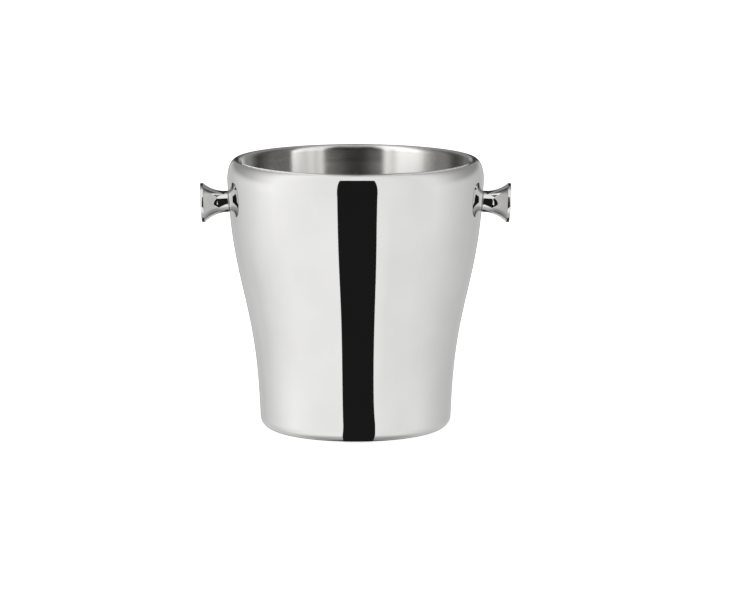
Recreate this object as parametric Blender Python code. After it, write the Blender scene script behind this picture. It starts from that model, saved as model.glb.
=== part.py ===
"""Double-walled steel ice bucket with two trumpet-shaped knobs, in metres, +Z up.

The origin is on the floor, at the centre of the foot. The knobs stand out along +X and -X.
Each sheet, knob and fastener is an object of its own, as the parts would lie on a bench.
"""

import math

import bmesh
import bpy
from mathutils import Vector

# --- Driving dimensions ---------------------------------------------------------------------
HEIGHT = 0.2114  # floor to the crest of the rim
SHEET = 0.001  # thickness of the pressed steel sheets
GAP = 0.0003  # left between pieces that touch
SEGMENTS = 48  # facets round a large turned piece
SMALL_SEGMENTS = 32  # facets round a knob
FASTENER_SEGMENTS = 20  # facets round a washer or a screw
SHARP_ANGLE = math.radians(35)  # edges sharper than this are shaded sharp

# The wall is an S: a narrow foot that swells into a wide belly.
WALL_MEAN_R = 0.08585
WALL_SWING = 0.0120  # half of the change of radius
WALL_TURN_Z = 0.1076  # height where the wall leans out most
WALL_TURN_SPREAD = 0.0571
WALL_TAPER = 0.017  # metres of radius for each metre of height

FOOT_FILLET = 0.0085
FOOT_OPENING_R = 0.062
SHOULDER_Z = 0.1958  # where the belly starts to roll over to the rim
SHOULDER_WIDTH = 0.0070
SEAM_R = 0.09555  # the weld between the shell and the liner's lip

LINER_INSET = 0.011  # from the shell's outer face to the liner's inner face
LINER_FLOOR_Z = 0.013
LINER_FILLET = 0.014
LIP_RISE = 0.005

BASE_R = 0.0655
BASE_DISH_R = 0.0590  # inside this the base plate is pressed upwards
BASE_DISH_RISE = 0.0022
BASE_CROWN = 0.0011
BASE_STEP_IN = 0.0030  # the step begins this far inside the dish's edge
BASE_STEP_OUT = 0.0018  # and ends this far outside it
BASE_STEP_DROP = 0.0004
PLUG_HOLE_R = 0.0025
PLUG_HEAD_R = 0.0042
PLUG_HEAD_HEIGHT = 0.0011
PLUG_HEAD_EDGE = 0.0004
PLUG_SHANK_RISE = 0.0020  # how far the shank stands out above the plate

KNOB_Z = 0.178  # height of the knob's axis at the wall
KNOB_LEAN = math.radians(3.0)  # how far the outer end hangs below level
KNOB_NECK_R = 0.0083
KNOB_NECK_LENGTH = 0.002
KNOB_ROOT = -0.0020  # the neck begins this far inside the wall, and is cut to it
KNOB_FLARE_R = 0.0255  # radius of the hollow curve between neck and rim
KNOB_FLARE_END = 0.0191  # distance from the wall to the end of the flare
KNOB_BAND = 0.0018  # width of the band round the knob's outer end
KNOB_EDGE = 0.0004
KNOB_DOME = 0.0006
KNOB_BORE_DEPTH = 0.0150

SCREW_R = 0.0029
SCREW_HOLE_R = SCREW_R + GAP + 0.0001
SCREW_REACH = 0.0130  # how far the screw goes into the knob
SCREW_HEAD_R = 0.00525
SCREW_HEAD_HEIGHT = 0.0030
SCREW_HEAD_EDGE = 0.0004
SCREW_CHAMFER = 0.0005
SOCKET_R = 0.0023
SOCKET_DEPTH = 0.0018
GASKET_R = 0.0066
GASKET_THICKNESS = 0.0010
BACKING_R = 0.0110
BACKING_THICKNESS = 0.0012
SPRING_R = 0.0050
SPRING_THICKNESS = 0.0012
SPRING_SPLIT = 0.0009
CUT_REACH = 0.006  # cutters reach this far to both sides of the wall's face
LAYER_REACH = 0.016  # and the curved ones this far above and below the knob's axis


# --- Materials ------------------------------------------------------------------------------
def finish(name, colour, roughness, metallic):
    """A Principled material with one colour."""
    material = bpy.data.materials.new(name)
    material.use_nodes = True
    shader = material.node_tree.nodes["Principled BSDF"]
    shader.inputs["Base Color"].default_value = (*colour, 1.0)
    shader.inputs["Roughness"].default_value = roughness
    shader.inputs["Metallic"].default_value = metallic
    return material


# --- Shape helpers --------------------------------------------------------------------------
def wall_radius(z):
    """Outer radius of the shell at height z, below the shoulder."""
    swell = math.tanh((z - WALL_TURN_Z) / WALL_TURN_SPREAD)
    return WALL_MEAN_R + WALL_SWING * swell + WALL_TAPER * z


def spread(low, high, count):
    """count values from low to high, both included."""
    return [low + (high - low) * i / (count - 1) for i in range(count)]


def arc(centre_r, centre_z, width, rise, start, end, count):
    """Points of an elliptical arc, from start to end degrees, 0 pointing outwards and 90 up."""
    angles = [math.radians(a) for a in spread(start, end, count)]
    return [(centre_r + width * math.cos(a), centre_z + rise * math.sin(a)) for a in angles]


def offset(line, distance):
    """The line moved sideways by distance, to the left of its direction."""
    moved = []
    for i, point in enumerate(line):
        before = Vector(line[max(i - 1, 0)])
        after = Vector(line[min(i + 1, len(line) - 1)])
        along = (after - before).normalized()
        moved.append((point[0] - along.y * distance, point[1] + along.x * distance))
    return moved


def add_object(name, mesh, material):
    obj = bpy.data.objects.new(name, mesh)
    obj.data.materials.append(material)
    bpy.context.scene.collection.objects.link(obj)
    return obj


def turned(name, outline, material, segments=SEGMENTS):
    """A closed outline of (radius, height) points spun about Z. Points at radius 0 lie on the axis."""
    bm = bmesh.new()
    verts = [bm.verts.new((r, 0.0, z)) for r, z in outline]
    edges = [bm.edges.new((a, b)) for a, b in zip(verts, verts[1:] + verts[:1])]
    edges = [e for e in edges if max(v.co.x for v in e.verts) > 0]  # none along the axis
    bmesh.ops.spin(
        bm,
        geom=verts + edges,
        cent=(0, 0, 0),
        axis=(0, 0, 1),
        angle=2 * math.pi,
        steps=segments,
        use_merge=True,
    )
    bmesh.ops.remove_doubles(bm, verts=bm.verts, dist=1e-6)
    bmesh.ops.dissolve_degenerate(bm, edges=bm.edges, dist=1e-7)
    loose = [e for e in bm.edges if not e.link_faces]
    bmesh.ops.delete(bm, geom=loose, context="EDGES")
    bmesh.ops.recalc_face_normals(bm, faces=bm.faces)
    mesh = bpy.data.meshes.new(name)
    bm.to_mesh(mesh)
    bm.free()
    mesh.shade_smooth()
    mesh.set_sharp_from_angle(angle=SHARP_ANGLE)
    return add_object(name, mesh, material)


def helper(obj):
    """Marks a cutter, which isn't part of the bucket."""
    obj.hide_render = True
    obj.display_type = "WIRE"
    return obj


def cut(obj, tool, operation="DIFFERENCE"):
    modifier = obj.modifiers.new(operation.lower(), "BOOLEAN")
    modifier.operation = operation
    modifier.solver = "EXACT"
    modifier.object = tool


def rod(name, radius, start, end, material, segments=FASTENER_SEGMENTS):
    """A plain cylinder on the local Z axis."""
    return turned(name, [(0, start), (radius, start), (radius, end), (0, end)], material, segments)


def ring(name, inner, outer, start, end, material, segments=FASTENER_SEGMENTS):
    """A flat washer on the local Z axis."""
    outline = [(inner, start), (outer, start), (outer, end), (inner, end)]
    return turned(name, outline, material, segments)


# --- Outlines of the sheets -----------------------------------------------------------------
def shell_line():
    """The shell's outer face, from the foot's opening up to the weld at the rim."""
    foot_r = wall_radius(FOOT_FILLET)
    shoulder_r = wall_radius(SHOULDER_Z)
    crest_r = shoulder_r - SHOULDER_WIDTH
    seam_angle = math.degrees(math.acos((SEAM_R + GAP / 2 - crest_r) / SHOULDER_WIDTH))
    foot = arc(foot_r - FOOT_FILLET, FOOT_FILLET, FOOT_FILLET, FOOT_FILLET, -90, 0, 5)
    wall = [(wall_radius(z), z) for z in spread(FOOT_FILLET, SHOULDER_Z, 11)]
    shoulder = arc(crest_r, SHOULDER_Z, SHOULDER_WIDTH, HEIGHT - SHOULDER_Z, 0, seam_angle, 6)
    return [(FOOT_OPENING_R, 0.0)] + foot + wall[1:] + shoulder[1:]


def liner_line():
    """The liner's inner face, from the middle of the floor up, over the lip and out to the weld."""
    crest_r = wall_radius(SHOULDER_Z) - SHOULDER_WIDTH
    floor_r = wall_radius(LINER_FLOOR_Z + LINER_FILLET) - LINER_INSET
    lip_z = HEIGHT - LIP_RISE
    lip_r = wall_radius(lip_z) - LINER_INSET
    seam_angle = math.degrees(math.acos((SEAM_R - GAP / 2 - crest_r) / SHOULDER_WIDTH))
    corner_z = LINER_FLOOR_Z + LINER_FILLET
    corner = arc(floor_r - LINER_FILLET, corner_z, LINER_FILLET, LINER_FILLET, -90, 0, 5)
    wall = [(wall_radius(z) - LINER_INSET, z) for z in spread(corner_z, lip_z, 10)]
    lip = arc(crest_r, lip_z, crest_r - lip_r, LIP_RISE, 180, 90, 5)
    rise = HEIGHT - SHOULDER_Z
    to_seam = arc(crest_r, SHOULDER_Z, SHOULDER_WIDTH, rise, 90, seam_angle, 3)
    return [(0.0, LINER_FLOOR_Z)] + corner + wall[1:] + lip[1:] + to_seam[1:]


def sheet_outline(line, thickness):
    """A closed outline: a line, and its offset by the thickness of the sheet. The ends are cut upright."""
    back = offset(line, thickness)
    for end, inward in ((0, 1), (-1, -2)):
        slope = (line[inward][1] - line[end][1]) / (line[inward][0] - line[end][0])
        r, z = back[end]
        back[end] = (line[end][0], z + slope * (line[end][0] - r))
    return line + back[::-1]


# --- Body of the bucket ---------------------------------------------------------------------
def make_outer_shell(steel):
    shell = turned("outer_shell", sheet_outline(shell_line(), SHEET), steel)
    for side, sign in SIDES.items():
        drill = rod(f"screw_hole_{side}", SCREW_HOLE_R, -CUT_REACH, CUT_REACH, steel)
        cut(shell, on_knob_axis(helper(drill), sign))
    return shell


def make_inner_liner(steel):
    return turned("inner_liner", sheet_outline(liner_line(), -SHEET), steel)


def base_line():
    """Underside of the base plate, from its hole outwards: a shallow crown, a step and a flat rim."""
    rim_z = SHEET + GAP
    dish_z = rim_z + BASE_DISH_RISE
    crown = [
        (r, dish_z + BASE_CROWN * (1 - (r / BASE_DISH_R) ** 2))
        for r in spread(PLUG_HOLE_R, BASE_DISH_R - BASE_STEP_IN, 4)
    ]
    step = [(BASE_DISH_R, dish_z - BASE_STEP_DROP), (BASE_DISH_R + BASE_STEP_OUT, rim_z)]
    return crown + step + [(BASE_R, rim_z)]


def make_base_plate(steel):
    return turned("base_plate", sheet_outline(base_line(), SHEET), steel)


def make_vent_plug(steel):
    """A rivet-shaped plug that closes the base plate's vent hole."""
    plate_z = base_line()[0][1]
    head_top = plate_z - GAP
    shank_r = PLUG_HOLE_R - GAP
    shank_top = plate_z + SHEET + PLUG_SHANK_RISE
    crown_height = PLUG_HEAD_HEIGHT - PLUG_HEAD_EDGE
    crown = arc(0.0, head_top - PLUG_HEAD_EDGE, PLUG_HEAD_R, crown_height, -90, 0, 4)
    head = [(0.0, head_top - PLUG_HEAD_HEIGHT)] + crown[1:] + [(PLUG_HEAD_R, head_top)]
    shank = [(shank_r, head_top), (shank_r, shank_top), (0.0, shank_top)]
    return turned("vent_plug", head + shank, steel, FASTENER_SEGMENTS)


# --- Knobs and their fasteners --------------------------------------------------------------
SIDES = {"right": 1, "left": -1}


def on_knob_axis(obj, sign):
    """Turns an object's +Z to point out of the wall, with its origin on the wall's outer face."""
    obj.location = (sign * wall_radius(KNOB_Z), 0.0, KNOB_Z)
    obj.rotation_euler = (0.0, sign * (math.pi / 2 + KNOB_LEAN), 0.0)
    return obj


def wall_layer(name, near, far, material):
    """The part of the wall behind the knobs, as a layer from near to far metres off its outer face."""
    heights = spread(KNOB_Z - LAYER_REACH, KNOB_Z + LAYER_REACH, 7)
    outer = [(wall_radius(z) + far, z) for z in heights]
    if near is None:
        inner = [(0.0, heights[-1]), (0.0, heights[0])]
    else:
        inner = [(wall_radius(z) + near, z) for z in reversed(heights)]
    return helper(turned(name, outer + inner, material))


def knob_outline():
    """From the bore's end out along the hollow flare, round the end band and back to the middle."""
    reach = KNOB_FLARE_END - KNOB_NECK_LENGTH
    sweep = math.asin(reach / KNOB_FLARE_R)
    centre_r = KNOB_NECK_R + KNOB_FLARE_R
    flare = [
        (centre_r - KNOB_FLARE_R * math.cos(a), KNOB_NECK_LENGTH + KNOB_FLARE_R * math.sin(a))
        for a in spread(0.0, sweep, 8)
    ]
    end_r = flare[-1][0] + KNOB_EDGE
    band_start = KNOB_FLARE_END + KNOB_EDGE
    face = band_start + KNOB_BAND + KNOB_EDGE
    band = [(end_r, band_start), (end_r, face - KNOB_EDGE), (end_r - KNOB_EDGE, face)]
    dome = [(r, face + KNOB_DOME * (1 - (r / end_r) ** 2)) for r in spread(end_r, 0.0, 4)[1:]]
    bore = [
        (0.0, KNOB_BORE_DEPTH),
        (SCREW_HOLE_R, KNOB_BORE_DEPTH),
        (SCREW_HOLE_R, GASKET_THICKNESS + 2 * GAP),
        (GASKET_R + GAP, GASKET_THICKNESS + 2 * GAP),
        (GASKET_R + GAP, KNOB_ROOT),
        (KNOB_NECK_R, KNOB_ROOT),
    ]
    return bore + flare + band + dome


def make_knob(side, sign, steel, wall_shape):
    knob = turned(f"knob_{side}", knob_outline(), steel, SMALL_SEGMENTS)
    cut(on_knob_axis(knob, sign), wall_shape)
    return knob


def make_gasket(side, sign, rubber):
    name = f"knob_gasket_{side}"
    gasket = ring(name, SCREW_HOLE_R, GASKET_R, GAP, GAP + GASKET_THICKNESS, rubber)
    return on_knob_axis(gasket, sign)


def make_backing_plate(side, sign, steel, layer):
    """A round plate pressed to the wall's own curve, behind the wall."""
    plate = ring(f"backing_plate_{side}", SCREW_HOLE_R, BACKING_R, -CUT_REACH, CUT_REACH, steel)
    cut(on_knob_axis(plate, sign), layer, "INTERSECT")
    return plate


def behind_backing():
    """Distance from the wall's outer face to the spring washer's near face, along the knob's axis."""
    bow = SPRING_R**2 / (2 * wall_radius(KNOB_Z))
    return SHEET + GAP + BACKING_THICKNESS + bow + GAP


def make_spring_washer(side, sign, steel):
    """A washer sawn through on one side."""
    near = -behind_backing()
    far = near - SPRING_THICKNESS
    washer = ring(f"spring_washer_{side}", SCREW_HOLE_R, SPRING_R, far, near, steel)
    bm = bmesh.new()
    bmesh.ops.create_cube(bm, size=1.0)
    bmesh.ops.scale(bm, vec=(SPRING_R, SPRING_SPLIT, 4 * SPRING_THICKNESS), verts=bm.verts)
    bmesh.ops.translate(bm, vec=(SPRING_R, 0.0, (near + far) / 2), verts=bm.verts)
    mesh = bpy.data.meshes.new(f"split_{side}")
    bm.to_mesh(mesh)
    bm.free()
    saw = helper(add_object(f"split_{side}", mesh, steel))
    cut(on_knob_axis(washer, sign), on_knob_axis(saw, sign))
    return washer


def make_screw(side, sign, steel):
    """A button-headed screw with a hexagon socket, put in from inside the shell."""
    seat = -(behind_backing() + SPRING_THICKNESS + GAP)
    top = seat - SCREW_HEAD_HEIGHT
    crown_height = SCREW_HEAD_HEIGHT - SCREW_HEAD_EDGE
    crown = arc(0.0, seat - SCREW_HEAD_EDGE, SCREW_HEAD_R, crown_height, -90, 0, 5)
    head = [(0.0, top)] + crown[1:] + [(SCREW_HEAD_R, seat)]
    shank = [
        (SCREW_R, seat),
        (SCREW_R, SCREW_REACH - SCREW_CHAMFER),
        (SCREW_R - SCREW_CHAMFER, SCREW_REACH),
        (0.0, SCREW_REACH),
    ]
    screw = turned(f"knob_screw_{side}", head + shank, steel, FASTENER_SEGMENTS)
    socket = helper(rod(f"socket_{side}", SOCKET_R, top - SOCKET_DEPTH, top + SOCKET_DEPTH, steel, 6))
    cut(on_knob_axis(screw, sign), on_knob_axis(socket, sign))
    return screw


def main():
    for obj in list(bpy.data.objects):
        bpy.data.objects.remove(obj)

    mirror_steel = finish("mirror_steel", (0.66, 0.65, 0.64), 0.04, 1.0)
    satin_steel = finish("satin_steel", (0.60, 0.59, 0.57), 0.28, 1.0)
    plain_steel = finish("plain_steel", (0.50, 0.50, 0.49), 0.40, 1.0)
    rubber = finish("gasket_rubber", (0.03, 0.03, 0.03), 0.60, 0.0)

    make_outer_shell(mirror_steel)
    make_inner_liner(satin_steel)
    make_base_plate(satin_steel)
    make_vent_plug(plain_steel)

    wall_shape = wall_layer("wall_shape", None, GAP, mirror_steel)
    backing_far = -(SHEET + GAP)
    backing_layer = wall_layer(
        "backing_layer", backing_far - BACKING_THICKNESS, backing_far, plain_steel
    )
    for side, sign in SIDES.items():
        make_knob(side, sign, mirror_steel, wall_shape)
        make_gasket(side, sign, rubber)
        make_backing_plate(side, sign, plain_steel, backing_layer)
        make_spring_washer(side, sign, plain_steel)
        make_screw(side, sign, plain_steel)


main()
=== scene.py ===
# %% [markdown]
# # A double-walled ice bucket in polished steel
#
# The bucket is two skins of stainless steel with still air between them, which is what keeps the
# ice. The outer skin is polished like a mirror, the inner one is brushed round and round, and a
# small trumpet-shaped knob stands out on each side to carry it by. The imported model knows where
# every piece is and how big it is. This script gives each piece its fine surface and its finish.

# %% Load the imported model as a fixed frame
import math

import bmesh
import bpy
from mathutils import Matrix, Vector


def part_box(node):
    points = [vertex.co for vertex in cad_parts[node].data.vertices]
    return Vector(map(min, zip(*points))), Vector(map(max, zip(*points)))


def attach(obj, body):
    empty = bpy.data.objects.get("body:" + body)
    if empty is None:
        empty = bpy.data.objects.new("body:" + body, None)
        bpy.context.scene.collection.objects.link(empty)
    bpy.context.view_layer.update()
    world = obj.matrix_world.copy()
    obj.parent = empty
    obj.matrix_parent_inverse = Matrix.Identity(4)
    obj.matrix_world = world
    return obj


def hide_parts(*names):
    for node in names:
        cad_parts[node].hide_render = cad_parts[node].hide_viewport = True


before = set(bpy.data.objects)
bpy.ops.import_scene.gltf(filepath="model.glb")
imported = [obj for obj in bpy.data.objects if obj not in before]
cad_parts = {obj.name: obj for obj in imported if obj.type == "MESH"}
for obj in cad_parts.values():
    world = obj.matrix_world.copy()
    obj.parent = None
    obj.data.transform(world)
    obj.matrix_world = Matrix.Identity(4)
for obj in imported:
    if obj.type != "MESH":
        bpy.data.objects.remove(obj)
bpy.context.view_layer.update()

print("nodes:", ", ".join(sorted(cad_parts)))

# %% [markdown]
# ## The wall's curve
#
# Both skins follow one S-shaped curve: a narrow foot that swells into a wide belly. A hyperbolic
# tangent is the simplest formula that has that shape. It changes smoothly everywhere, so a mirror
# finish shows no kink, and the foot's and the belly's radii come straight from its two ends.
# A hand-drawn curve could follow any shape, but each of its points would need a number.

# %% Driving sizes and the wall's formula
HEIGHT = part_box("inner_liner")[1].z
SHEET = 0.0010
GAP = 0.00015  # between pieces that touch, a hairline
WALL_MEAN_R = 0.08585
WALL_SWING = 0.0120
WALL_TURN_Z = 0.1076
WALL_TURN_SPREAD = 0.0571
WALL_TAPER = 0.017


def wall_radius(z):
    """Outer radius of the shell at height z."""
    swell = math.tanh((z - WALL_TURN_Z) / WALL_TURN_SPREAD)
    return WALL_MEAN_R + WALL_SWING * swell + WALL_TAPER * z


for part_name, height in (("foot", 0.01), ("belly", 0.19)):
    print(part_name, "radius in mm:", round(1000 * wall_radius(height), 1))

# %% [markdown]
# ## Helpers for turned sheet metal
#
# Nearly every piece is round, because it was spun or turned on a lathe. So each starts as an
# outline of (radius, height) points, and is spun about its axis. A mirror finish shows every facet,
# so the outline's points are close together and there are many steps round the axis.
# Subdivision of a coarse mesh would also be smooth, but it would pull the shape off its true sizes.


# %% Outlines: evenly spaced values, arcs and offsets
def spread(low, high, count):
    """count values from low to high, both included."""
    return [low + (high - low) * i / (count - 1) for i in range(count)]


def arc(centre, radii, start, end, count):
    """Points of an elliptical arc from start to end degrees, 0 pointing outwards and 90 up."""
    (x, y), (width, rise) = centre, radii
    angles = [math.radians(a) for a in spread(start, end, count)]
    return [(x + width * math.cos(a), y + rise * math.sin(a)) for a in angles]


def offset(line, distance):
    """The line moved sideways, to the left of its direction."""
    moved = []
    for i, point in enumerate(line):
        before = Vector(line[max(i - 1, 0)])
        after = Vector(line[min(i + 1, len(line) - 1)])
        along = (after - before).normalized()
        moved.append((point[0] - along.y * distance, point[1] + along.x * distance))
    return moved


def round_end(line, thickness, count=7):
    """The half round at the end of a sheet whose face is line and which lies to the line's left."""
    along = (Vector(line[-1]) - Vector(line[-2])).normalized()
    across = Vector((-along.y, along.x)) * abs(thickness) / 2 * (1 if thickness > 0 else -1)
    middle = Vector(line[-1]) + across
    turns = [math.radians(a) for a in spread(0, 180, count)]
    depth = abs(thickness) / 2
    return [tuple(middle - across * math.cos(a) + along * depth * math.sin(a)) for a in turns[1:-1]]


def sheet_outline(line, thickness):
    """A closed outline round a sheet with rounded edges, or that ends on the axis."""
    back = offset(line, thickness)[::-1]
    if line[0][0] == 0.0:
        back[-1] = (0.0, back[-1][1])
        start = []
    else:
        start = round_end(back, thickness)
    return line + round_end(line, thickness) + back + start


# %% Turning an outline into a mesh
BIG_STEPS = 224
KNOB_STEPS = 112
SMALL_STEPS = 64
SHARP = math.radians(38)  # edges sharper than this are shaded sharp
MERGE = 1e-7  # points nearer than this are one point
SPECK = 1e-8  # edges shorter than this are removed


def add_piece(name, bm, material):
    """A new object from a bmesh, smooth but for its sharp edges."""
    bmesh.ops.recalc_face_normals(bm, faces=bm.faces)
    mesh = bpy.data.meshes.new(name)
    bm.to_mesh(mesh)
    bm.free()
    mesh.shade_smooth()
    mesh.set_sharp_from_angle(angle=SHARP)
    mesh.materials.append(material)
    piece = bpy.data.objects.new(name, mesh)
    bpy.context.scene.collection.objects.link(piece)
    return piece


def spun(outline, steps):
    """A bmesh of a closed outline spun about Z."""
    bm = bmesh.new()
    verts = [bm.verts.new((r, 0.0, z)) for r, z in outline]
    edges = [bm.edges.new(pair) for pair in zip(verts, verts[1:] + verts[:1])]
    edges = [edge for edge in edges if max(v.co.x for v in edge.verts) > 0]
    bmesh.ops.spin(
        bm,
        geom=verts + edges,
        cent=(0, 0, 0),
        axis=(0, 0, 1),
        angle=2 * math.pi,
        steps=steps,
        use_merge=True,
    )
    bmesh.ops.remove_doubles(bm, verts=bm.verts, dist=MERGE)
    bmesh.ops.dissolve_degenerate(bm, edges=bm.edges, dist=SPECK)
    bmesh.ops.delete(bm, geom=[edge for edge in bm.edges if not edge.link_faces], context="EDGES")
    return bm


def turned(name, outline, material, steps=BIG_STEPS):
    return add_piece(name, spun(outline, steps), material)


# %% Cutting one piece with another
def cut(piece, cutter):
    """Takes cutter away from piece for good, and removes cutter."""
    modifier = piece.modifiers.new("cut", "BOOLEAN")
    modifier.operation = "DIFFERENCE"
    modifier.solver = "EXACT"
    modifier.object = cutter
    bpy.context.view_layer.update()
    graph = bpy.context.evaluated_depsgraph_get()
    whole = piece.data
    piece.data = bpy.data.meshes.new_from_object(piece.evaluated_get(graph))
    piece.data.name = piece.name
    piece.modifiers.clear()
    bpy.data.meshes.remove(whole)
    bpy.data.objects.remove(cutter)


# %% [markdown]
# ## Finishes shared by several metals
#
# Stainless steel is nearly one colour, so its finish is in how it scatters light. Three effects
# come back on most of the pieces, and each is a node group with named inputs, so that one piece
# can have more of it than another: fine lines that run round the axis, a cloudy haze left by the
# polishing mop and by wiping, and hairline scratches. Each group works from the piece's own
# coordinates, which keeps the pattern's size in metres and needs no unwrapping.


# %% A small kit for writing node trees
def add_node(tree, kind, links=None, **settings):
    """A new node. links maps an input's name or number to a value or to another node's output."""
    node = tree.nodes.new(kind)
    for name, value in settings.items():
        setattr(node, name, value)
    for key, value in (links or {}).items():
        if isinstance(value, bpy.types.NodeSocket):
            tree.links.new(value, node.inputs[key])
        else:
            node.inputs[key].default_value = value
    return node


def calculate(tree, operation, *values):
    """The output of a Math node."""
    return add_node(tree, "ShaderNodeMath", dict(enumerate(values)), operation=operation).outputs[0]


def weighted(tree, *shares):
    """The sum of some values, each times its weight."""
    parts = [calculate(tree, "MULTIPLY", value, weight) for value, weight in shares]
    total = parts[0]
    for part in parts[1:]:
        total = calculate(tree, "ADD", total, part)
    return total


def remap(tree, value, low, high, to_low=0.0, to_high=1.0):
    """The value, taken from one range to another and held inside it, with soft ends."""
    links = {"Value": value, "From Min": low, "From Max": high, "To Min": to_low, "To Max": to_high}
    return add_node(tree, "ShaderNodeMapRange", links, interpolation_type="SMOOTHSTEP").outputs[0]


def noise(tree, vector, scale, detail=2.0, rough=0.5):
    links = {"Vector": vector, "Scale": scale, "Detail": detail, "Roughness": rough}
    return add_node(tree, "ShaderNodeTexNoise", links).outputs["Fac"]


def scaled(tree, vector, scale):
    """The vector, stretched along each axis."""
    links = {0: vector, 1: scale}
    return add_node(tree, "ShaderNodeVectorMath", links, operation="MULTIPLY").outputs[0]


def new_group(name, inputs, outputs):
    """An empty node group: its tree, its inputs and a function that sets an output."""
    tree = bpy.data.node_groups.new(name, "ShaderNodeTree")
    tree.interface.new_socket("Position", in_out="INPUT", socket_type="NodeSocketVector")
    for label, value in inputs.items():
        socket = tree.interface.new_socket(label, in_out="INPUT", socket_type="NodeSocketFloat")
        socket.default_value = value
    for label in outputs:
        tree.interface.new_socket(label, in_out="OUTPUT", socket_type="NodeSocketFloat")
    given = tree.nodes.new("NodeGroupInput").outputs
    result = tree.nodes.new("NodeGroupOutput").inputs
    return tree, given, lambda label, value: tree.links.new(value, result[label])


# %% Lines that run round the axis
def make_round_lines():
    """Grooves of a brush held against a spinning piece: long round the axis, fine across it."""
    inputs = {"Line Width": 0.0004, "Break Up": 0.35, "Floor Weight": 1.0}
    tree, given, give = new_group("Lines round the axis", inputs, ["Height", "Mask"])
    place = add_node(tree, "ShaderNodeSeparateXYZ", {0: given["Position"]}).outputs
    squares = [calculate(tree, "POWER", side, 2.0) for side in place[:2]]
    radius = calculate(tree, "SQRT", calculate(tree, "ADD", *squares))
    angle = calculate(tree, "ARCTAN2", place[1], place[0])
    inwards = calculate(tree, "MULTIPLY", radius, given["Floor Weight"])
    run = calculate(tree, "SUBTRACT", place[2], inwards)
    line = calculate(tree, "DIVIDE", run, given["Line Width"])
    swing = calculate(tree, "MULTIPLY", given["Break Up"], 6.0)
    around = add_node(
        tree,
        "ShaderNodeCombineXYZ",
        {
            0: calculate(tree, "MULTIPLY", calculate(tree, "COSINE", angle), swing),
            1: calculate(tree, "MULTIPLY", calculate(tree, "SINE", angle), swing),
            2: line,
        },
    ).outputs[0]
    fine = noise(tree, around, 1.0, detail=3.0, rough=0.6)
    coarse = noise(tree, scaled(tree, around, (0.6, 0.6, 0.14)), 1.0, detail=2.0)
    both = weighted(tree, (fine, 0.65), (coarse, 0.35))
    give("Height", both)
    give("Mask", remap(tree, both, 0.35, 0.65))
    return tree


# %% Cloudy haze
def make_haze():
    """Soft patches where the polish is a little duller."""
    tree, given, give = new_group("Cloudy haze", {"Patch Size": 0.03, "Contrast": 0.5}, ["Mask"])
    cells = add_node(tree, "ShaderNodeVectorMath", {0: given["Position"]}, operation="SCALE")
    tree.links.new(calculate(tree, "DIVIDE", 1.0, given["Patch Size"]), cells.inputs["Scale"])
    cloud = noise(tree, cells.outputs[0], 1.0, detail=4.0, rough=0.55)
    half = calculate(tree, "MULTIPLY", calculate(tree, "SUBTRACT", 1.0, given["Contrast"]), 0.25)
    low = calculate(tree, "SUBTRACT", 0.5, calculate(tree, "ADD", half, 0.05))
    high = calculate(tree, "ADD", 0.5, calculate(tree, "ADD", half, 0.05))
    give("Mask", remap(tree, cloud, low, high))
    return tree


# %% Hairline scratches
SCRATCH_AXIS = (0.3, 0.8, 0.5)
SCRATCH_TURNS = (0.5, 2.1)  # the two directions, in radians about that axis
SCRATCH_THINNESS = 60.0  # times longer than wide
SCRATCH_LEVELS = (0.71, 0.78)  # only the noise's highest peaks become marks


def make_scratches():
    """Thin marks in two directions, few and short, as wiping and stacking leave."""
    tree, given, give = new_group("Hairline scratches", {"Length": 0.02, "Amount": 0.3}, ["Mask"])
    total = None
    for turn in SCRATCH_TURNS:
        turned_place = add_node(
            tree,
            "ShaderNodeVectorRotate",
            {"Vector": given["Position"], "Axis": SCRATCH_AXIS, "Angle": turn},
        ).outputs[0]
        cells = add_node(tree, "ShaderNodeVectorMath", {0: turned_place}, operation="SCALE")
        tree.links.new(calculate(tree, "DIVIDE", 1.0, given["Length"]), cells.inputs["Scale"])
        stretched = scaled(tree, cells.outputs[0], (1.0, SCRATCH_THINNESS, SCRATCH_THINNESS))
        marks = remap(tree, noise(tree, stretched, 1.0, detail=1.0), *SCRATCH_LEVELS)
        total = marks if total is None else calculate(tree, "MAXIMUM", total, marks)
    give("Mask", calculate(tree, "MULTIPLY", total, given["Amount"]))
    return tree


ROUND_LINES, HAZE, SCRATCHES = make_round_lines(), make_haze(), make_scratches()
print("node groups:", ", ".join(group.name for group in bpy.data.node_groups))

# %% [markdown]
# ## The metals and the rubber
#
# Polished steel reflects a little over half of the light, at every colour nearly alike, so it looks
# like a slightly darker copy of the room. Its roughness is close to zero, and the haze and the
# scratches raise it by a hair's breadth here and there. Brushed steel is the same metal with
# grooves that run round the axis. They spread a reflection across themselves and leave it sharp
# along themselves, which is why the inside shows upright streaks. The shader's own anisotropy gives
# that spread, because real grooves are finer than relief on a mesh could show.


# %% A material's frame, used by all of them
def start_material(name, colour, roughness, metallic):
    material = bpy.data.materials.new(name)
    material.use_nodes = True
    tree = material.node_tree
    shader = tree.nodes["Principled BSDF"]
    shader.inputs["Base Color"].default_value = (*colour, 1.0)
    shader.inputs["Roughness"].default_value = roughness
    shader.inputs["Metallic"].default_value = metallic
    place = add_node(tree, "ShaderNodeTexCoord").outputs["Object"]
    return material, tree, shader, place


def place_group(tree, group, place, values):
    node = add_node(tree, "ShaderNodeGroup", None, node_tree=group)
    tree.links.new(place, node.inputs["Position"])
    for key, value in values.items():
        node.inputs[key].default_value = value
    return node.outputs


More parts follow.
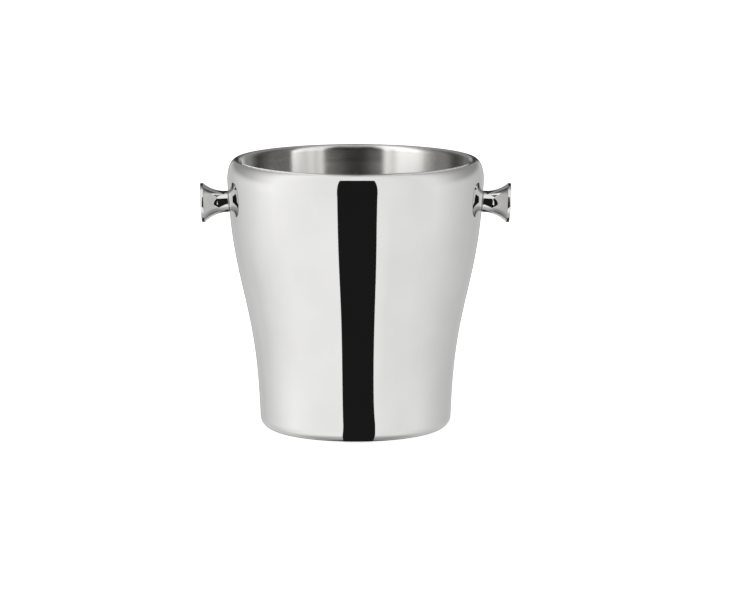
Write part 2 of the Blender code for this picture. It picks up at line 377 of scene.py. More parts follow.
def shade_between(tree, shader, dark, light, mask):
    """Base Color between two colours, by a mask."""
    links = {"Factor": mask, "A": (*dark, 1.0), "B": (*light, 1.0)}
    mix = add_node(tree, "ShaderNodeMix", None, data_type="RGBA")
    for socket in mix.inputs:
        if socket.type in ("RGBA", "VALUE") and socket.enabled and socket.name in links:
            value = links[socket.name]
            if isinstance(value, bpy.types.NodeSocket):
                tree.links.new(value, socket)
            else:
                socket.default_value = value
    tree.links.new(next(s for s in mix.outputs if s.enabled), shader.inputs["Base Color"])


def bump(tree, shader, height, distance, strength=1.0):
    """Relief on the surface, distance metres deep."""
    links = {"Height": height, "Distance": distance, "Strength": strength}
    tree.links.new(add_node(tree, "ShaderNodeBump", links).outputs[0], shader.inputs["Normal"])


# %% Mirror-polished steel
def make_mirror_steel(name, roughness, patch):
    material, tree, shader, place = start_material(name, (0.60, 0.597, 0.59), roughness, 1.0)
    haze = place_group(tree, HAZE, place, {"Patch Size": patch, "Contrast": 0.4})["Mask"]
    marks = place_group(tree, SCRATCHES, place, {"Length": 0.015, "Amount": 0.25})["Mask"]
    values = {"Line Width": 0.0007, "Break Up": 0.3, "Floor Weight": 0.0}
    lines = place_group(tree, ROUND_LINES, place, values)
    shade_between(tree, shader, (0.585, 0.582, 0.576), (0.605, 0.602, 0.597), haze)
    duller = weighted(tree, (haze, 0.012), (marks, 0.08))
    tree.links.new(calculate(tree, "ADD", duller, roughness), shader.inputs["Roughness"])
    bump(tree, shader, lines["Height"], 0.0000003)
    return material


MIRROR = make_mirror_steel("mirror_polished_steel", 0.018, 0.04)
KNOB_MIRROR = make_mirror_steel("mirror_polished_knob_steel", 0.03, 0.01)


# %% Steel brushed round the axis
def make_brushed_steel(name, colour, roughness, anisotropy, line_width, floor_weight):
    dark = tuple(0.94 * c for c in colour)
    material, tree, shader, place = start_material(name, colour, roughness, 1.0)
    values = {"Line Width": line_width, "Break Up": 0.12, "Floor Weight": floor_weight}
    lines = place_group(tree, ROUND_LINES, place, values)
    haze = place_group(tree, HAZE, place, {"Patch Size": 0.05, "Contrast": 0.3})["Mask"]
    shade_between(tree, shader, dark, colour, lines["Mask"])
    uneven = weighted(tree, (lines["Mask"], 0.04), (haze, 0.02))
    tree.links.new(calculate(tree, "ADD", uneven, roughness), shader.inputs["Roughness"])
    shader.inputs["Anisotropic"].default_value = anisotropy
    shader.inputs["Anisotropic Rotation"].default_value = 0.25
    around = add_node(tree, "ShaderNodeTangent", None, direction_type="RADIAL", axis="Z").outputs[0]
    tree.links.new(around, shader.inputs["Tangent"])
    bump(tree, shader, lines["Height"], 0.0000015)
    return material


SATIN = make_brushed_steel("satin_brushed_steel", (0.66, 0.65, 0.63), 0.20, 1.0, 0.00035, 1.0)
SPUN_BASE = make_brushed_steel("coarse_brushed_steel", (0.56, 0.55, 0.53), 0.32, 0.7, 0.0005, 1.0)


# %% Plain steel for what nobody sees, and its welds
def make_plain_steel(name, dark, light, roughness):
    material, tree, shader, place = start_material(name, light, roughness, 1.0)
    haze = place_group(tree, HAZE, place, {"Patch Size": 0.003, "Contrast": 0.6})["Mask"]
    marks = place_group(tree, SCRATCHES, place, {"Length": 0.004, "Amount": 0.6})["Mask"]
    shade_between(tree, shader, dark, light, haze)
    duller = weighted(tree, (haze, 0.15), (marks, 0.15))
    tree.links.new(calculate(tree, "ADD", duller, roughness), shader.inputs["Roughness"])
    bump(tree, shader, haze, 0.00002)
    return material


PLAIN = make_plain_steel("plain_stainless_steel", (0.42, 0.42, 0.41), (0.52, 0.52, 0.51), 0.28)
WELD = make_plain_steel("ground_weld_steel", (0.26, 0.25, 0.24), (0.45, 0.44, 0.43), 0.35)


# %% Black rubber
def make_rubber():
    material, tree, shader, place = start_material("black_moulded_rubber", (0.025, 0.025, 0.026), 0.6, 0.0)
    haze = place_group(tree, HAZE, place, {"Patch Size": 0.0015, "Contrast": 0.5})["Mask"]
    shade_between(tree, shader, (0.018, 0.018, 0.019), (0.035, 0.035, 0.036), haze)
    duller = weighted(tree, (haze, 0.2))
    tree.links.new(calculate(tree, "ADD", duller, 0.5), shader.inputs["Roughness"])
    bump(tree, shader, haze, 0.00003)
    return material


RUBBER = make_rubber()
print("materials:", ", ".join(m.name for m in bpy.data.materials if m.name[0].islower() and m.use_nodes))

# %% [markdown]
# ## The outer shell
#
# The shell starts as a drawn steel cup without a bottom. Its foot is rolled in to a narrow standing
# ring, and its top is rolled in to the rim, where it meets the liner's lip. One outline runs along
# the outer face from the foot's opening up to the weld, and a second one, a sheet's thickness
# inside, comes back. Both edges are rounded, as a press leaves them.

# %% Shell sizes
FOOT_FILLET = 0.0085
FOOT_OPENING_R = 0.0620
SHOULDER_Z = 0.1958
SHOULDER_WIDTH = 0.0070
SHOULDER_RISE = HEIGHT - SHOULDER_Z
CREST_R = wall_radius(SHOULDER_Z) - SHOULDER_WIDTH
SEAM_R = 0.09555
SEAM_HALF = 0.00015


def shoulder_angle(radius):
    """Where on the shoulder's curve it has this radius, in degrees."""
    return math.degrees(math.acos((radius - CREST_R) / SHOULDER_WIDTH))


# %% Shell outline and mesh
def shell_line():
    """The outer face, from the foot's opening to the seam at the rim."""
    foot_centre = (wall_radius(FOOT_FILLET) - FOOT_FILLET, FOOT_FILLET)
    flange = [(r, 0.0) for r in spread(FOOT_OPENING_R, foot_centre[0], 4)]
    foot = arc(foot_centre, (FOOT_FILLET, FOOT_FILLET), -90, 0, 15)
    wall = [(wall_radius(z), z) for z in spread(FOOT_FILLET, SHOULDER_Z, 96)]
    shoulder_centre = (CREST_R, SHOULDER_Z)
    to_seam = shoulder_angle(SEAM_R + SEAM_HALF)
    shoulder = arc(shoulder_centre, (SHOULDER_WIDTH, SHOULDER_RISE), 0, to_seam, 34)
    return flange + foot[1:] + wall[1:] + shoulder[1:]


shell = turned("polished_shell", sheet_outline(shell_line(), SHEET), MIRROR)
print("shell:", len(shell.data.vertices), "points")

# %% [markdown]
# ## The inner liner
#
# The liner is the cup that holds the ice. Its lip rolls out over the rim, and the polisher grinds
# the weld between the two skins down to a hairline. The inside keeps the brushed finish, because
# a mirror would soon be scratched by ice.

# %% Liner outline and mesh
LINER_INSET = 0.011
LINER_FLOOR_Z = 0.013
LINER_FILLET = 0.014
LIP_RISE = 0.005


def liner_line():
    """The inner face, from the middle of the floor, up the wall and over the lip to the seam."""
    corner_z = LINER_FLOOR_Z + LINER_FILLET
    corner_r = wall_radius(corner_z) - LINER_INSET - LINER_FILLET
    lip_z = HEIGHT - LIP_RISE
    lip_r = wall_radius(lip_z) - LINER_INSET
    floor = [(r, LINER_FLOOR_Z) for r in spread(0.0, corner_r, 28)]
    corner = arc((corner_r, corner_z), (LINER_FILLET, LINER_FILLET), -90, 0, 18)
    wall = [(wall_radius(z) - LINER_INSET, z) for z in spread(corner_z, lip_z, 80)]
    lip = arc((CREST_R, lip_z), (CREST_R - lip_r, LIP_RISE), 180, 90, 18)
    to_seam = shoulder_angle(SEAM_R - SEAM_HALF)
    crest = arc((CREST_R, SHOULDER_Z), (SHOULDER_WIDTH, SHOULDER_RISE), 90, to_seam, 7)
    return floor + corner[1:] + wall[1:] + lip[1:] + crest[1:]


liner = turned("satin_liner", sheet_outline(liner_line(), -SHEET), SATIN)
print("liner:", len(liner.data.vertices), "points")

# %% [markdown]
# ## Rim and foot welds
#
# A weld runs all the way round the rim, between lip and shell, and another one joins the base plate
# to the foot. Both are ground nearly flush, so each is a thin ring that fills its groove and stays
# just below the surface.


# %% Weld rings
RIM_WELD_SIZE = (0.0009, 0.0008)
RIM_WELD_SUNK = 0.00075  # its middle is this far below the crest's face
FOOT_WELD_SIZE = (0.0007, 0.0007)
FOOT_WELD_INSET = 0.0001


def weld_ring(name, centre, size):
    """A ring of an oval section."""
    outline = arc(centre, (size[0] / 2, size[1] / 2), 0, 360, 17)[:-1]
    return turned(name, outline, WELD)


seam_z = SHOULDER_Z + SHOULDER_RISE * math.sin(math.radians(shoulder_angle(SEAM_R)))
rim_weld = weld_ring("rim_weld", (SEAM_R, seam_z - RIM_WELD_SUNK), RIM_WELD_SIZE)

# %% [markdown]
# ## The base plate
#
# A pressed plate closes the space between the two skins from below. It is dished upwards, so that
# only the shell's foot touches the table, and a plug closes the small hole that let the air out
# while the last weld was made.

# %% Base plate, its weld and its plug
BASE_R = 0.0655
BASE_DISH_R = 0.0590
BASE_DISH_RISE = 0.0022
BASE_CROWN = 0.0011
BASE_STEP_IN = 0.0030  # the step begins this far inside the dish's edge
BASE_STEP_OUT = 0.0018  # and ends this far outside it
BASE_STEP_CROWN = 0.00011  # what is left of the crown where the step begins
BASE_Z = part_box("base_plate")[0].z
PLUG_HOLE_R = 0.0025
PLUG_PLAY = 0.0003
PLUG_CHAMFER = 0.0003
PLUG_HEAD_R = 0.0042
PLUG_HEAD_HEIGHT = 0.0011
dish_z = BASE_Z + BASE_DISH_RISE
step_r = BASE_DISH_R - BASE_STEP_IN


def base_line():
    """The underside, from the plug's hole outwards: a shallow crown, a soft step and a flat rim."""
    crown_height = [(r, 1 - (r / BASE_DISH_R) ** 2) for r in spread(PLUG_HOLE_R, step_r, 24)]
    crown = [(r, dish_z + BASE_CROWN * share) for r, share in crown_height]
    step_top = dish_z + BASE_STEP_CROWN
    step = []
    for t in spread(0.0, 1.0, 13):
        drop = (step_top - BASE_Z) * t * t * (3 - 2 * t)
        step.append((step_r + (BASE_STEP_IN + BASE_STEP_OUT) * t, step_top - drop))
    rim = [(r, BASE_Z) for r in spread(BASE_DISH_R + BASE_STEP_OUT, BASE_R, 5)]
    return crown + step[1:] + rim[1:]


base_plate = turned("foot_plate", sheet_outline(base_line(), SHEET), SPUN_BASE)
foot_corner = (FOOT_OPENING_R + FOOT_WELD_INSET, SHEET + FOOT_WELD_INSET)
foot_weld = weld_ring("foot_weld", foot_corner, FOOT_WELD_SIZE)
plug_low, plug_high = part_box("vent_plug")
plug_seat = plug_low.z + PLUG_HEAD_HEIGHT
plug_line = arc((0.0, plug_seat), (PLUG_HEAD_R, PLUG_HEAD_HEIGHT), -90, 0, 14)
plug_line[0] = (0.0, plug_low.z)
shank_r = PLUG_HOLE_R - PLUG_PLAY
plug_line += [(shank_r, plug_seat), (shank_r, plug_high.z - PLUG_CHAMFER)]
plug_line += [(shank_r - PLUG_CHAMFER, plug_high.z), (0.0, plug_high.z)]
vent_plug = turned("vent_stopper", plug_line, PLAIN, SMALL_STEPS)
print("base plate:", len(base_plate.data.vertices), "points")

# %% [markdown]
# ## The knobs
#
# Each knob is turned from bar: a short neck that sits on the wall, a hollow flare, a narrow band
# and a nearly flat end, a size for two fingers. The wall leans out there, so the knob's end points
# down a little. Its foot is cut to the wall's own curve. Moving the foot's points on to the wall is
# cleaner than a Boolean, because it keeps the rings of the mesh.

# %% Where the knobs stand
KNOB_Z = 0.178
KNOB_LEAN = math.radians(3.0)
SIDES = {"right": 1, "left": -1}


def knob_place(sign):
    """The matrix that turns +Z to point out of the wall, with the origin on the wall."""
    spot = Vector((sign * wall_radius(KNOB_Z), 0.0, KNOB_Z))
    return Matrix.Translation(spot) @ Matrix.Rotation(sign * (math.pi / 2 + KNOB_LEAN), 4, "Y")


def wall_height(place, x, y):
    """How far the wall's outer face is above the tangent plane, at x, y beside the knob's axis."""
    height = 0.0
    for _ in range(8):
        spot = place @ Vector((x, y, height))
        height -= math.hypot(spot.x, spot.y) - wall_radius(spot.z)
    return height


def follow_wall(bm, place, reach):
    """Bends a mesh on the knob's axis to the wall's curve, less and less up to reach."""
    for vert in bm.verts:
        share = max(0.0, 1.0 - max(0.0, vert.co.z) / reach)
        vert.co.z += share * wall_height(place, vert.co.x, vert.co.y)


print("knobs stand", round(1000 * wall_radius(KNOB_Z), 1), "mm from the axis")

# %% Knob sizes and outline
NECK_R = 0.0083
NECK_LENGTH = 0.0020
NECK_START = 0.0008  # its first ring above the foot's edge
FLARE_R = 0.0255
FLARE_END = 0.0191
BAND = 0.0018
EDGE = 0.0004
DOME = 0.0006
BORE_R = 0.0033
BORE_DEPTH = 0.0150
BORE_POINT = 0.0015  # the drill's point goes this much deeper
SEAL_R = 0.0066
SEAL_THICKNESS = 0.0010
SEAL_PLAY = 0.0002
FOOT_EDGE = 0.0003  # the rounding of the edge that stands on the wall
FOOT_REACH = 0.006  # the foot follows the wall up to this distance


def knob_line():
    """From the end of the bore, round the foot and the flare to the middle of the end face."""
    sweep = math.asin((FLARE_END - NECK_LENGTH) / FLARE_R)
    centre_r = NECK_R + FLARE_R
    turns = spread(0, sweep, 40)
    flare = [(centre_r - FLARE_R * math.cos(a), NECK_LENGTH + FLARE_R * math.sin(a)) for a in turns]
    end_r = flare[-1][0] + EDGE
    face = FLARE_END + EDGE + BAND + EDGE
    lower_edge = arc((end_r - EDGE, FLARE_END + EDGE), (EDGE, EDGE), -45, 0, 6)
    upper_edge = arc((end_r - EDGE, face - EDGE), (EDGE, EDGE), 0, 85, 9)
    dome = [(r, face + DOME * (1 - (r / end_r) ** 2)) for r in spread(end_r - EDGE, 0.0, 22)]
    seat = SEAL_THICKNESS + 2 * GAP
    recess_r = SEAL_R + SEAL_PLAY
    bore = [(0.0, BORE_DEPTH + BORE_POINT), (BORE_R, BORE_DEPTH), (BORE_R, seat)]
    recess = [(recess_r, seat), (recess_r, GAP)]
    third = FOOT_EDGE / 3
    foot = [(NECK_R - FOOT_EDGE, GAP), (NECK_R - third, GAP + third), (NECK_R, GAP + FOOT_EDGE)]
    neck = [(NECK_R, z) for z in spread(GAP + NECK_START, NECK_LENGTH, 4)]
    return bore + recess + foot + neck[:-1] + flare + lower_edge[1:] + upper_edge + dome[1:]


def make_knob(side, sign):
    bm = spun(knob_line(), KNOB_STEPS)
    follow_wall(bm, knob_place(sign), FOOT_REACH)
    knob = add_piece(f"{side}_knob", bm, KNOB_MIRROR)
    knob.matrix_world = knob_place(sign)
    return knob


knobs = {side: make_knob(side, sign) for side, sign in SIDES.items()}
print("knob:", len(knobs["left"].data.vertices), "points each")

# %% [markdown]
# ## What holds the knobs
#
# Nobody sees these pieces on a finished bucket, but they are what makes it one. A rubber seal in the
# knob's foot keeps water out of the space between the skins. From inside, a screw goes through a
# split spring washer, a plate curved like the wall, and the shell, into the knob's thread.

# %% Holes through the shell
DRILL = 0.005  # how far the drill reaches to both sides of the wall
for side, sign in SIDES.items():
    drill_line = [(0, -DRILL), (BORE_R, -DRILL), (BORE_R, DRILL), (0, DRILL)]
    drill = turned(f"drill_{side}", drill_line, MIRROR, SMALL_STEPS)
    drill.matrix_world = knob_place(sign)
    cut(shell, drill)
print("shell with its holes:", len(shell.data.vertices), "points")


# %% Rings with rounded edges: the seals and the backing plates
def ring_outline(inner, outer, low, high, edge, rings=1):
    """A flat ring's outline with rounded edges, and with more points across where rings is above 1."""
    corners = [
        (outer, high, -1, -1, 0),
        (inner, high, 1, -1, 90),
        (inner, low, 1, 1, 180),
        (outer, low, -1, 1, 270),
    ]
    outline = []
    for r, z, inward, downward, start in corners:
        outline += arc((r + inward * edge, z + downward * edge), (edge, edge), start, start + 90, 5)
        if rings > 1 and start in (0, 180):
            far = inner + edge if start == 0 else outer - edge
            near = outer - edge if start == 0 else inner + edge
            outline += [(x, z) for x in spread(near, far, rings + 1)[1:-1]]
    return outline


def make_curved_ring(name, place, sizes, edge, material, rings):
    inner, outer, low, high = sizes
    bm = spun(ring_outline(inner, outer, low, high, edge, rings), SMALL_STEPS)
    for vert in bm.verts:
        vert.co.z += wall_height(place, vert.co.x, vert.co.y)
    ring = add_piece(name, bm, material)
    ring.matrix_world = place
    return ring


PLATE_R = 0.0110
PLATE_TOP = -SHEET - GAP
PLATE_THICKNESS = 0.0012
PRESSED_EDGE = 0.0002
seals, plates = {}, {}
for side, sign in SIDES.items():
    seal_sizes = (BORE_R, SEAL_R, GAP, GAP + SEAL_THICKNESS)
    plate_sizes = (BORE_R, PLATE_R, PLATE_TOP - PLATE_THICKNESS, PLATE_TOP)
    place = knob_place(sign)
    seals[side] = make_curved_ring(f"{side}_knob_seal", place, seal_sizes, PRESSED_EDGE, RUBBER, 2)
    plates[side] = make_curved_ring(f"{side}_backing_plate", place, plate_sizes, PRESSED_EDGE, PLAIN, 8)
print("seals and plates:", len(seals) + len(plates))

# %% Split spring washers
WASHER_R = 0.0050
WASHER_THICKNESS = 0.0012
WASHER_SAG = 0.0003  # the plate's curve bulges this far towards the flat washer
WASHER_TOP = PLATE_TOP - PLATE_THICKNESS - GAP - WASHER_SAG
SPLIT_HALF = math.radians(6)
SPLIT_SLANT = 0.9


def make_spring_washer(side, sign):
    """A ring of a square section that stops short of closing, with slanted ends."""
    low = WASHER_TOP - WASHER_THICKNESS
    section = ring_outline(BORE_R, WASHER_R, low, WASHER_TOP, PRESSED_EDGE)
    middle = (low + WASHER_TOP) / 2
    bm = bmesh.new()
    rows = []
    for turn in spread(SPLIT_HALF, 2 * math.pi - SPLIT_HALF, 61):
        angles = [turn + SPLIT_SLANT * (z - middle) / WASHER_R for _, z in section]
        points = zip(section, angles)
        rows.append([bm.verts.new((r * math.cos(a), r * math.sin(a), z)) for (r, z), a in points])
    for row, following in zip(rows, rows[1:]):
        for i in range(len(section)):
            j = (i + 1) % len(section)
            bm.faces.new((row[i], row[j], following[j], following[i]))
    bm.faces.new(rows[0])
    bm.faces.new(rows[-1])
    bmesh.ops.remove_doubles(bm, verts=bm.verts, dist=MERGE)
    washer = add_piece(f"{side}_spring_washer", bm, PLAIN)
    washer.matrix_world = knob_place(sign)
    return washer


washers = {side: make_spring_washer(side, sign) for side, sign in SIDES.items()}

# %% Screws with a real thread
SCREW_R = 0.0030
THREAD_PITCH = 0.0010
THREAD_DEPTH = 0.0006
THREAD_START = 0.0005
THREAD_RINGS = 10  # rings of points for each turn
THREAD_LAND = 1.15  # above 1, the thread keeps a flat crest
SCREW_END = 0.0130
SCREW_CHAMFER = 0.0006
HEAD_R = 0.00525
HEAD_HEIGHT = 0.0030
HEAD_EDGE = 0.0004
SEAT_EDGE = 0.0001
HEAD_SEAT = WASHER_TOP - WASHER_THICKNESS - GAP
SOCKET_R = 0.0023
SOCKET_DEPTH = 0.0018
SOCKET_OVER = 0.001  # the cutter starts this far outside the head


def screw_line():
    """A button head and a plain shank, with rings close enough together for the thread."""
    top = HEAD_SEAT - HEAD_HEIGHT
    head = arc((0.0, HEAD_SEAT - HEAD_EDGE), (HEAD_R, HEAD_HEIGHT - HEAD_EDGE), -90, 0, 18)
    head[0] = (0.0, top)
    seat = [(HEAD_R, HEAD_SEAT - SEAT_EDGE), (HEAD_R - SEAT_EDGE, HEAD_SEAT), (SCREW_R, HEAD_SEAT)]
    shank_end = SCREW_END - SCREW_CHAMFER
    rings = round((shank_end - THREAD_START) / THREAD_PITCH * THREAD_RINGS)
    shank = [(SCREW_R, z) for z in spread(THREAD_START, shank_end, rings)]
    return head + seat + shank + [(SCREW_R - SCREW_CHAMFER, SCREW_END), (0.0, SCREW_END)]


def thread(bm):
    """Presses a helical groove into the shank. It starts and ends shallow."""
    thread_end = SCREW_END - THREAD_START
    for vert in bm.verts:
        x, y, z = vert.co
        if abs(math.hypot(x, y) - SCREW_R) > 1e-5 or not THREAD_START < z < thread_end:
            continue
        phase = (z / THREAD_PITCH - math.atan2(y, x) / (2 * math.pi)) % 1.0
        depth = THREAD_DEPTH * max(0.0, THREAD_LAND * abs(2 * phase - 1) - THREAD_LAND + 1)
        fade = min(1.0, (z - THREAD_START) / THREAD_PITCH, (thread_end - z) / THREAD_PITCH)
        shrink = 1 - depth * fade / SCREW_R
        vert.co.x, vert.co.y = x * shrink, y * shrink


def make_screw(side, sign):
    bm = spun(screw_line(), SMALL_STEPS)
    thread(bm)
    screw = add_piece(f"{side}_knob_screw", bm, PLAIN)
    top = HEAD_SEAT - HEAD_HEIGHT
    start, end = top - SOCKET_OVER, top + SOCKET_DEPTH
    socket = [(0, start), (SOCKET_R, start), (SOCKET_R, end), (0, end)]
    cut(screw, turned(f"socket_{side}", socket, PLAIN, 6))
    screw.matrix_world = knob_place(sign)
    return screw


screws = {side: make_screw(side, sign) for side, sign in SIDES.items()}
print("screw:", len(screws["left"].data.vertices), "points each")

# %% [markdown]
# ## Everything rides on the bucket
#
# The bucket has no moving piece, so all of it is one body, the root. The table lists each fine piece with
# one of the record's finishes and the plain solids it stands for, and those solids are hidden.

# %% Bodies, solids and slots
placed = {
    shell: ("mirror_steel", ["outer_shell"]),
    liner: ("satin_steel", ["inner_liner"]),
    rim_weld: ("plain_steel", []),
    base_plate: ("satin_steel", ["base_plate"]),
    foot_weld: ("plain_steel", []),
    vent_plug: ("plain_steel", ["vent_plug"]),
}
for side in SIDES:
    placed[knobs[side]] = ("mirror_steel", [f"knob_{side}"])
    placed[seals[side]] = ("gasket_rubber", [f"knob_gasket_{side}"])
    placed[plates[side]] = ("plain_steel", [f"backing_plate_{side}"])
    placed[washers[side]] = ("plain_steel", [f"spring_washer_{side}"])
    placed[screws[side]] = ("plain_steel", [f"knob_screw_{side}"])
for piece, (slot, nodes) in placed.items():
    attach(piece, "root")
    if nodes:
        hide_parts(*nodes)
print(len(placed), "pieces ride on the root")

# %% [markdown]
# ## Floor and studio
#
# A mirror has no look of its own: what it shows is the studio. This one is a white tent, brightest
# at the left and darker behind the bucket, where it closes with a narrow dark gap. The tent is the
# world's own light, shaded by direction, so it stands still when the camera moves round. In front
# it has a wider gap between two screens, which the camera looks through, and which draws the dark
# band down the middle of the wall. The knobs see that gap from the side and larger than the wall
# does, which light from the world can't do, so it is a real black sheet at a real distance.

# %% The floor
FLOOR_SIZE = 6.0
FLOOR_DROP = 0.0002  # a hair below the foot, so that the two faces don't meet


def make_floor():
    bm = bmesh.new()
    bmesh.ops.create_circle(bm, cap_ends=True, segments=96, radius=FLOOR_SIZE)
    material, tree, shader, place = start_material("white_table", (0.6, 0.6, 0.6), 0.9, 0.0)
    grain = place_group(tree, HAZE, place, {"Patch Size": 0.02, "Contrast": 0.2})["Mask"]
    shade_between(tree, shader, (0.58, 0.58, 0.58), (0.6, 0.6, 0.6), grain)
    shader.inputs["Emission Color"].default_value = (1.0, 1.0, 1.0, 1.0)
    shader.inputs["Emission Strength"].default_value = 0.75
    floor = add_piece("floor", bm, material)
    floor.location.z = -FLOOR_DROP
    floor.visible_glossy = False
    return floor


make_floor()

# %% Brightness by direction, round the bucket
# Each pair is a direction in degrees, 0 to the front and 90 to the right, and the brightness there.
# The first list is for the tent level with the bucket and above, the second for its skirt and the
# table, and the third for the strips in the mouth.
HIGH_STOPS = [
    (-180, 0.06), (-171, 0.06), (-168, 0.64), (-146, 0.72), (-124, 1.00), (-107, 1.19),
    (-92, 1.40), (-80, 1.50), (-66, 1.40),
    (-48, 1.33), (-28, 1.28), (0, 1.30), (36, 1.26), (56, 1.16), (78, 1.21), (90, 1.11), (104, 0.96),
    (120, 0.83), (146, 0.68), (168, 0.63), (171, 0.06), (180, 0.06),
]
LOW_STOPS = [
    (-180, 0.06), (-171, 0.06), (-168, 0.74), (-144, 0.85), (-123, 0.94), (-107, 1.13),
    (-94, 1.23), (-82, 1.29), (-71, 1.34),
    (-20, 1.34), (26, 1.26), (35, 1.19), (63, 1.18), (73, 1.14), (84, 1.10), (96, 1.03), (109, 0.94),
    (125, 0.85), (148, 0.75), (168, 0.73), (171, 0.06), (180, 0.06),
]
MOUTH_STOPS = [
    (-180, 0.10), (-170, 0.14), (-163, 0.24), (-150, 0.32), (-138, 0.28), (-126, 0.55),
    (-115, 0.90), (-105, 1.80), (-95, 2.10), (-85, 2.05), (-67, 2.05), (-58, 1.10), (-49, 2.00),
    (-44, 1.20), (-41, 0.01), (47, 0.01), (51, 1.50), (55, 1.60), (61, 0.95), (68, 1.60),
    (79, 1.20), (90, 1.60), (101, 2.40), (104, 0.17), (142, 0.20), (154, 0.12), (180, 0.05),
]


def round_ramp(tree, direction, stops):
    """A brightness read from a list of stops by a direction in degrees."""
    top = max(level for _, level in stops)
    ramp = add_node(tree, "ShaderNodeValToRGB")
    elements = ramp.color_ramp.elements
    while len(elements) > 1:
        elements.remove(elements[-1])
    elements[0].position = 0.0
    elements[0].color = (*[stops[0][1] / top] * 3, 1.0)
    for angle, level in stops[1:]:
        stop = elements.new((angle + 180) / 360)
        stop.color = (*[level / top] * 3, 1.0)
    share = calculate(tree, "ADD", calculate(tree, "DIVIDE", direction, 360.0), 0.5)
    tree.links.new(share, ramp.inputs[0])
    return calculate(tree, "MULTIPLY", ramp.outputs[0], top)


def direction_round(tree, x, y):
    """The direction of x, y in degrees, 0 to the front and 90 to the right."""
    turn = calculate(tree, "ARCTAN2", x, calculate(tree, "MULTIPLY", y, -1.0))
    return calculate(tree, "DEGREES", turn)


# %% The tent
BACKDROP = 1.1  # what the camera itself sees behind the bucket
MIX_LOW_HIGH = (-24.0, -8.0)  # elevations between which the low ramp gives way to the high one
BACK_DIM = 0.45  # how much darker the tent's top is towards the back
BACKWARDS = (-0.35, 0.75)  # from no dimming to all of it, as a share of the way back
UPWARDS = (0.0, 12.0)  # and as an elevation
TABLE_DIM = 0.50  # how much is lost straight below
DOWNWARDS = (-70.0, -42.0)  # from all of that to none


def dimmed(tree, level, amount, *masks):
    """level, less the share amount of it where all the masks are 1."""
    share = amount
    for mask in masks:
        share = calculate(tree, "MULTIPLY", share, mask)
    return calculate(tree, "MULTIPLY", level, calculate(tree, "SUBTRACT", 1.0, share))


def make_tent():
    world = bpy.data.worlds.new("light_tent")
    bpy.context.scene.world = world
    world.use_nodes = True
    tree = world.node_tree
    tree.nodes.clear()
    way = add_node(tree, "ShaderNodeTexCoord").outputs["Generated"]
    x, y, z = add_node(tree, "ShaderNodeSeparateXYZ", {0: way}).outputs
    azimuth = direction_round(tree, x, y)
    elevation = calculate(tree, "DEGREES", calculate(tree, "ARCSINE", z))
    high = round_ramp(tree, azimuth, HIGH_STOPS)
    low = round_ramp(tree, azimuth, LOW_STOPS)
    raised = remap(tree, elevation, *MIX_LOW_HIGH)
    level = add_node(tree, "ShaderNodeMix", {0: raised, 2: low, 3: high}).outputs[0]
    top = remap(tree, elevation, *UPWARDS)
    level = dimmed(tree, level, BACK_DIM, remap(tree, y, *BACKWARDS), top)
    level = dimmed(tree, level, TABLE_DIM, remap(tree, elevation, *DOWNWARDS, 1.0, 0.0))
    seen = add_node(tree, "ShaderNodeLightPath").outputs["Is Camera Ray"]
    white = (1.0, 1.0, 1.0, 1.0)
    tent = add_node(tree, "ShaderNodeBackground", {"Strength": level, "Color": white})
    backdrop = add_node(tree, "ShaderNodeBackground", {"Strength": BACKDROP, "Color": white})
    mixed = add_node(tree, "ShaderNodeMixShader", {0: seen, 1: tent.outputs[0], 2: backdrop.outputs[0]})
    output = add_node(tree, "ShaderNodeOutputWorld")
    tree.links.new(mixed.outputs[0], output.inputs["Surface"])


make_tent()
bpy.context.scene.view_settings.view_transform = "Standard"


# %% Sheets that only the mirrors see
def make_sheet(name, strips, material):
    """A studio sheet of four-cornered faces. It throws no shadow, and no camera sees it."""
    bm = bmesh.new()
    for corners in strips:
        bm.faces.new([bm.verts.new(corner) for corner in corners])
    mesh = bpy.data.meshes.new(name)
    bm.to_mesh(mesh)
    bm.free()
    mesh.materials.append(material)
    sheet = bpy.data.objects.new(name, mesh)
    bpy.context.scene.collection.objects.link(sheet)
    sheet.visible_camera = False
    sheet.visible_diffuse = False
    sheet.visible_shadow = False
    return sheet


GAP_GLOW = 0.016  # black cloth still returns a little light


def make_glow(name, level=GAP_GLOW):
    """A material that only glows, and the tree and the socket of its strength."""
    material = bpy.data.materials.new(name)
    material.use_nodes = True
    tree = material.node_tree
    tree.nodes.clear()
    glow = add_node(tree, "ShaderNodeEmission", {"Strength": level})
    output = add_node(tree, "ShaderNodeOutputMaterial", {"Surface": glow.outputs[0]})
    return material, tree, glow, output


BLACK = make_glow("black_gap")[0]

# %% The gap between the screens
GAP_DISTANCE = 0.60  # from the bucket's axis to the upright part
GAP_TOP = 0.69
GAP_SHIFT = 0.0047  # the gap isn't quite in the middle
GAP_SLANT = 0.0188  # and points slightly to the right
GAP_SPREAD = 0.31  # half its width for each metre of distance
GAP_START = 0.0276  # the distance at which its edges would meet
GAP_MIDDLE = 0.12
GAP_NEAR = 0.050  # it runs on over the table to under the foot's edge
GAP_NEAR_EDGES = (-0.0049, 0.0058)


def gap_edges(distance, z):
    """The gap's two edges at a distance in front of the axis. It widens away from the bucket."""
    half = GAP_SPREAD * (distance - GAP_START)
    shift = GAP_SHIFT + GAP_SLANT * distance
    return [(shift - half, -distance, z), (shift + half, -distance, z)]


near = [(x, -GAP_NEAR, 0.0) for x in GAP_NEAR_EDGES]
middle, far = gap_edges(GAP_MIDDLE, 0.0), gap_edges(GAP_DISTANCE, 0.0)
top = gap_edges(GAP_DISTANCE, GAP_TOP)
make_sheet("front_gap", [near + middle[::-1], middle + far[::-1], far + top[::-1]], BLACK)

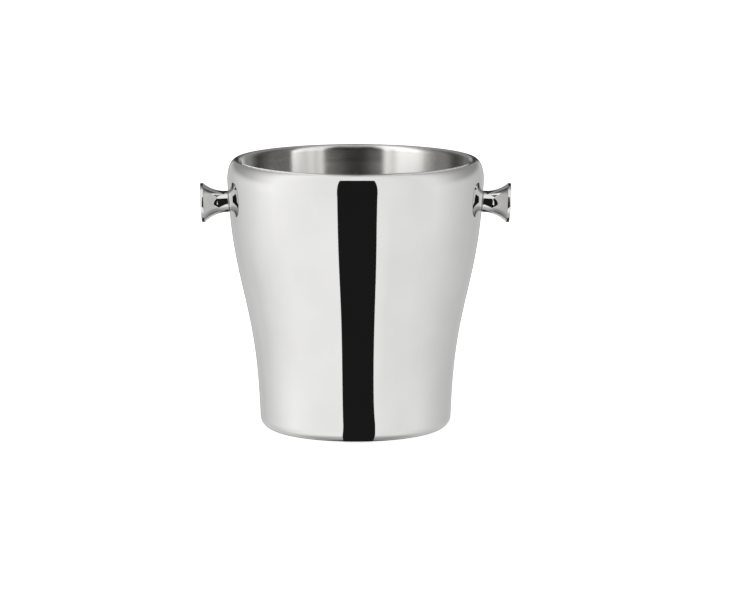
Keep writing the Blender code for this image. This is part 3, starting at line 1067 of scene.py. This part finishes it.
# %% [markdown]
# ## The flag round the mouth
#
# The inside is brushed, so it spreads what it mirrors up and down but hardly sideways. In an open
# tent it would be one even grey. In a studio, dark and bright cards are held round the mouth, and
# each one becomes an upright streak on the liner. Here one ring does that, hung just inside the
# rim. It shows its strips only inwards, so the rest of the bucket sees the tent through it.

# %% The ring of strips
RING_R = 0.0880  # just inside the liner
RING_LOW = HEIGHT - 0.030
RING_HIGH = 0.550
RING_STEPS = 96


def make_mouth_ring():
    material, tree, glow, output = make_glow("mouth_strips")
    place = add_node(tree, "ShaderNodeTexCoord").outputs["Object"]
    x, y, _ = add_node(tree, "ShaderNodeSeparateXYZ", {0: place}).outputs
    level = round_ramp(tree, direction_round(tree, x, y), MOUTH_STOPS)
    tree.links.new(level, glow.inputs["Strength"])
    outside = add_node(tree, "ShaderNodeNewGeometry").outputs["Backfacing"]
    clear = add_node(tree, "ShaderNodeBsdfTransparent").outputs[0]
    one_way = add_node(tree, "ShaderNodeMixShader", {0: outside, 1: glow.outputs[0], 2: clear})
    tree.links.new(one_way.outputs[0], output.inputs["Surface"])
    strips = []
    turns = spread(0.0, 2 * math.pi, RING_STEPS + 1)
    for start, end in zip(turns, turns[1:]):
        here = (RING_R * math.cos(start), RING_R * math.sin(start))
        there = (RING_R * math.cos(end), RING_R * math.sin(end))
        strips.append([(*there, RING_LOW), (*here, RING_LOW), (*here, RING_HIGH), (*there, RING_HIGH)])
    return make_sheet("mouth_ring", strips, material)


make_mouth_ring()

# %% [markdown]
# ## The camera
#
# A long lens from three metres away, a little above the rim, keeps the bucket's sides straight. The
# lens is shifted slightly, so that the bucket stands left of the middle.

# %% Camera
CAMERA_DISTANCE = 3.0
CAMERA_ELEVATION = math.radians(9.28)
LOOK_AT = Vector((0.0, 0.0, 0.106))
lens = bpy.data.cameras.new("camera")
lens.lens = 183.6
lens.shift_x = 0.0259
lens.shift_y = -0.0105
lens.clip_start, lens.clip_end = 0.1, 50.0
camera = bpy.data.objects.new("camera", lens)
away = Vector((0.0, -math.cos(CAMERA_ELEVATION), math.sin(CAMERA_ELEVATION)))
camera.location = LOOK_AT + away * CAMERA_DISTANCE
camera.rotation_euler = (-away).to_track_quat("-Z", "Y").to_euler()
bpy.context.scene.collection.objects.link(camera)
bpy.context.scene.camera = camera
print("camera at", [round(c, 3) for c in camera.location])
